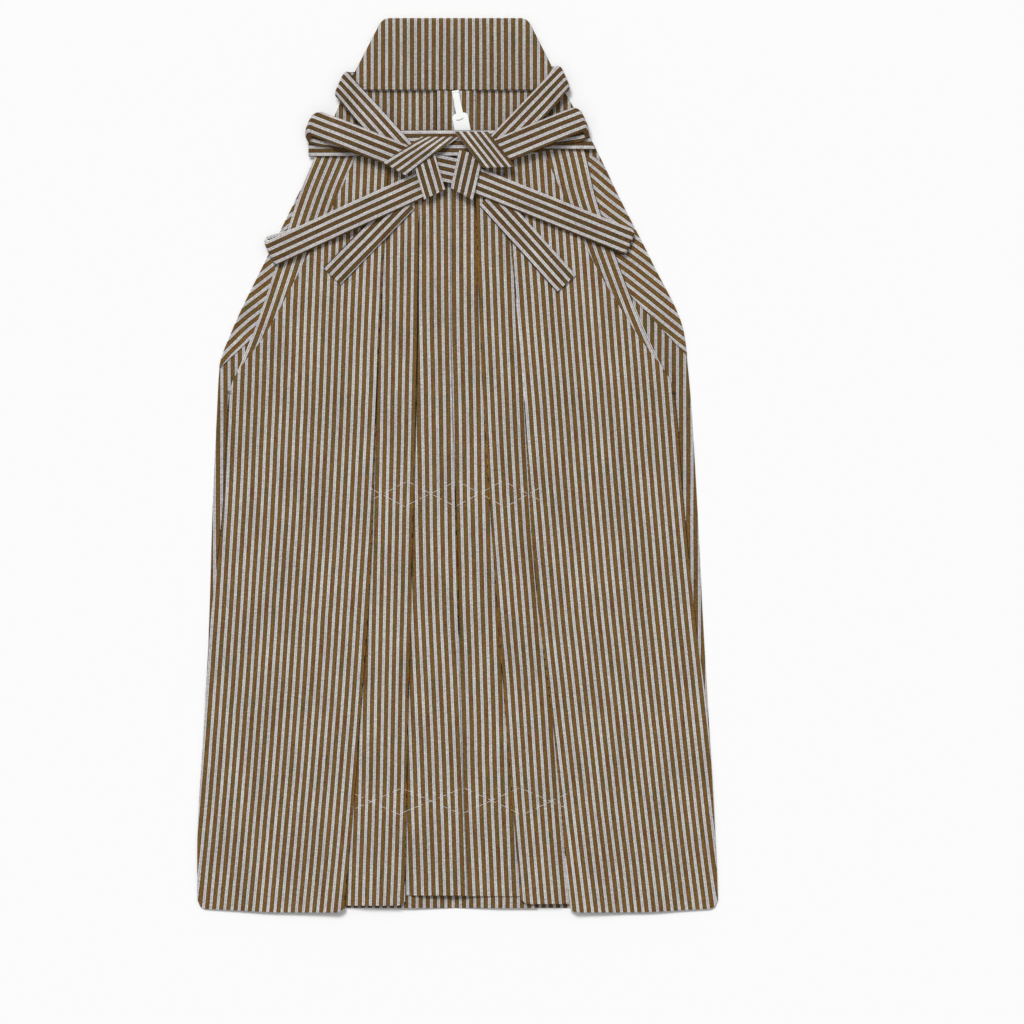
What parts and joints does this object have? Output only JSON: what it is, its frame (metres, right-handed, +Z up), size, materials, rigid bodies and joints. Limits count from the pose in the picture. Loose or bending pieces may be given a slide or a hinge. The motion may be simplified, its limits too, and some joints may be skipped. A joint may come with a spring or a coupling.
{
  "type": "hakama trousers",
  "caption": "Striped silk pleated hakama trousers with divided legs, laid flat front up: stiff back board, plastic spatula, and ties folded over the waistband in a display bow",
  "frame": {"origin": "centre of the laid garment's footprint, on the surface it lies on", "axes": "+X to the wearer's left, +Y from hem to waist, +Z up, away from the surface"},
  "size_m": [0.608, 1.044, 0.0197],
  "materials": {
    "striped_silk": "ribbed silk, lengthwise dark gold and pale grey stripes, slight sheen",
    "tie_silk": "folded ribbed silk, stripes along the tie, slight sheen",
    "spatula_plastic": "smooth white moulded plastic"
  },
  "bodies": {
    "root": {"front_right_leg": "striped_silk", "front_left_leg": "striped_silk", "front_right_leaf_pleat": "striped_silk", "front_left_leaf_pleat": "striped_silk", "back_right_leg": "striped_silk", "back_left_leg": "striped_silk", "back_right_turn_in": "striped_silk", "back_left_turn_in": "striped_silk", "front_waistband": "tie_silk", "back_board": "striped_silk", "spatula": "spatula_plastic", "tie_right_upper_loop": "tie_silk", "tie_left_upper_loop": "tie_silk", "tie_right_wide_loop": "tie_silk", "tie_left_wide_loop": "tie_silk", "tie_right_lower_loop": "tie_silk", "tie_left_lower_loop": "tie_silk", "tie_right_tail": "tie_silk", "tie_left_tail": "tie_silk", "tie_knot_centre": "tie_silk", "tie_right_hanging_wrap": "tie_silk", "tie_left_hanging_wrap": "tie_silk", "tie_right_wrap": "tie_silk", "tie_left_wrap": "tie_silk"}
  },
  "joints": []
}
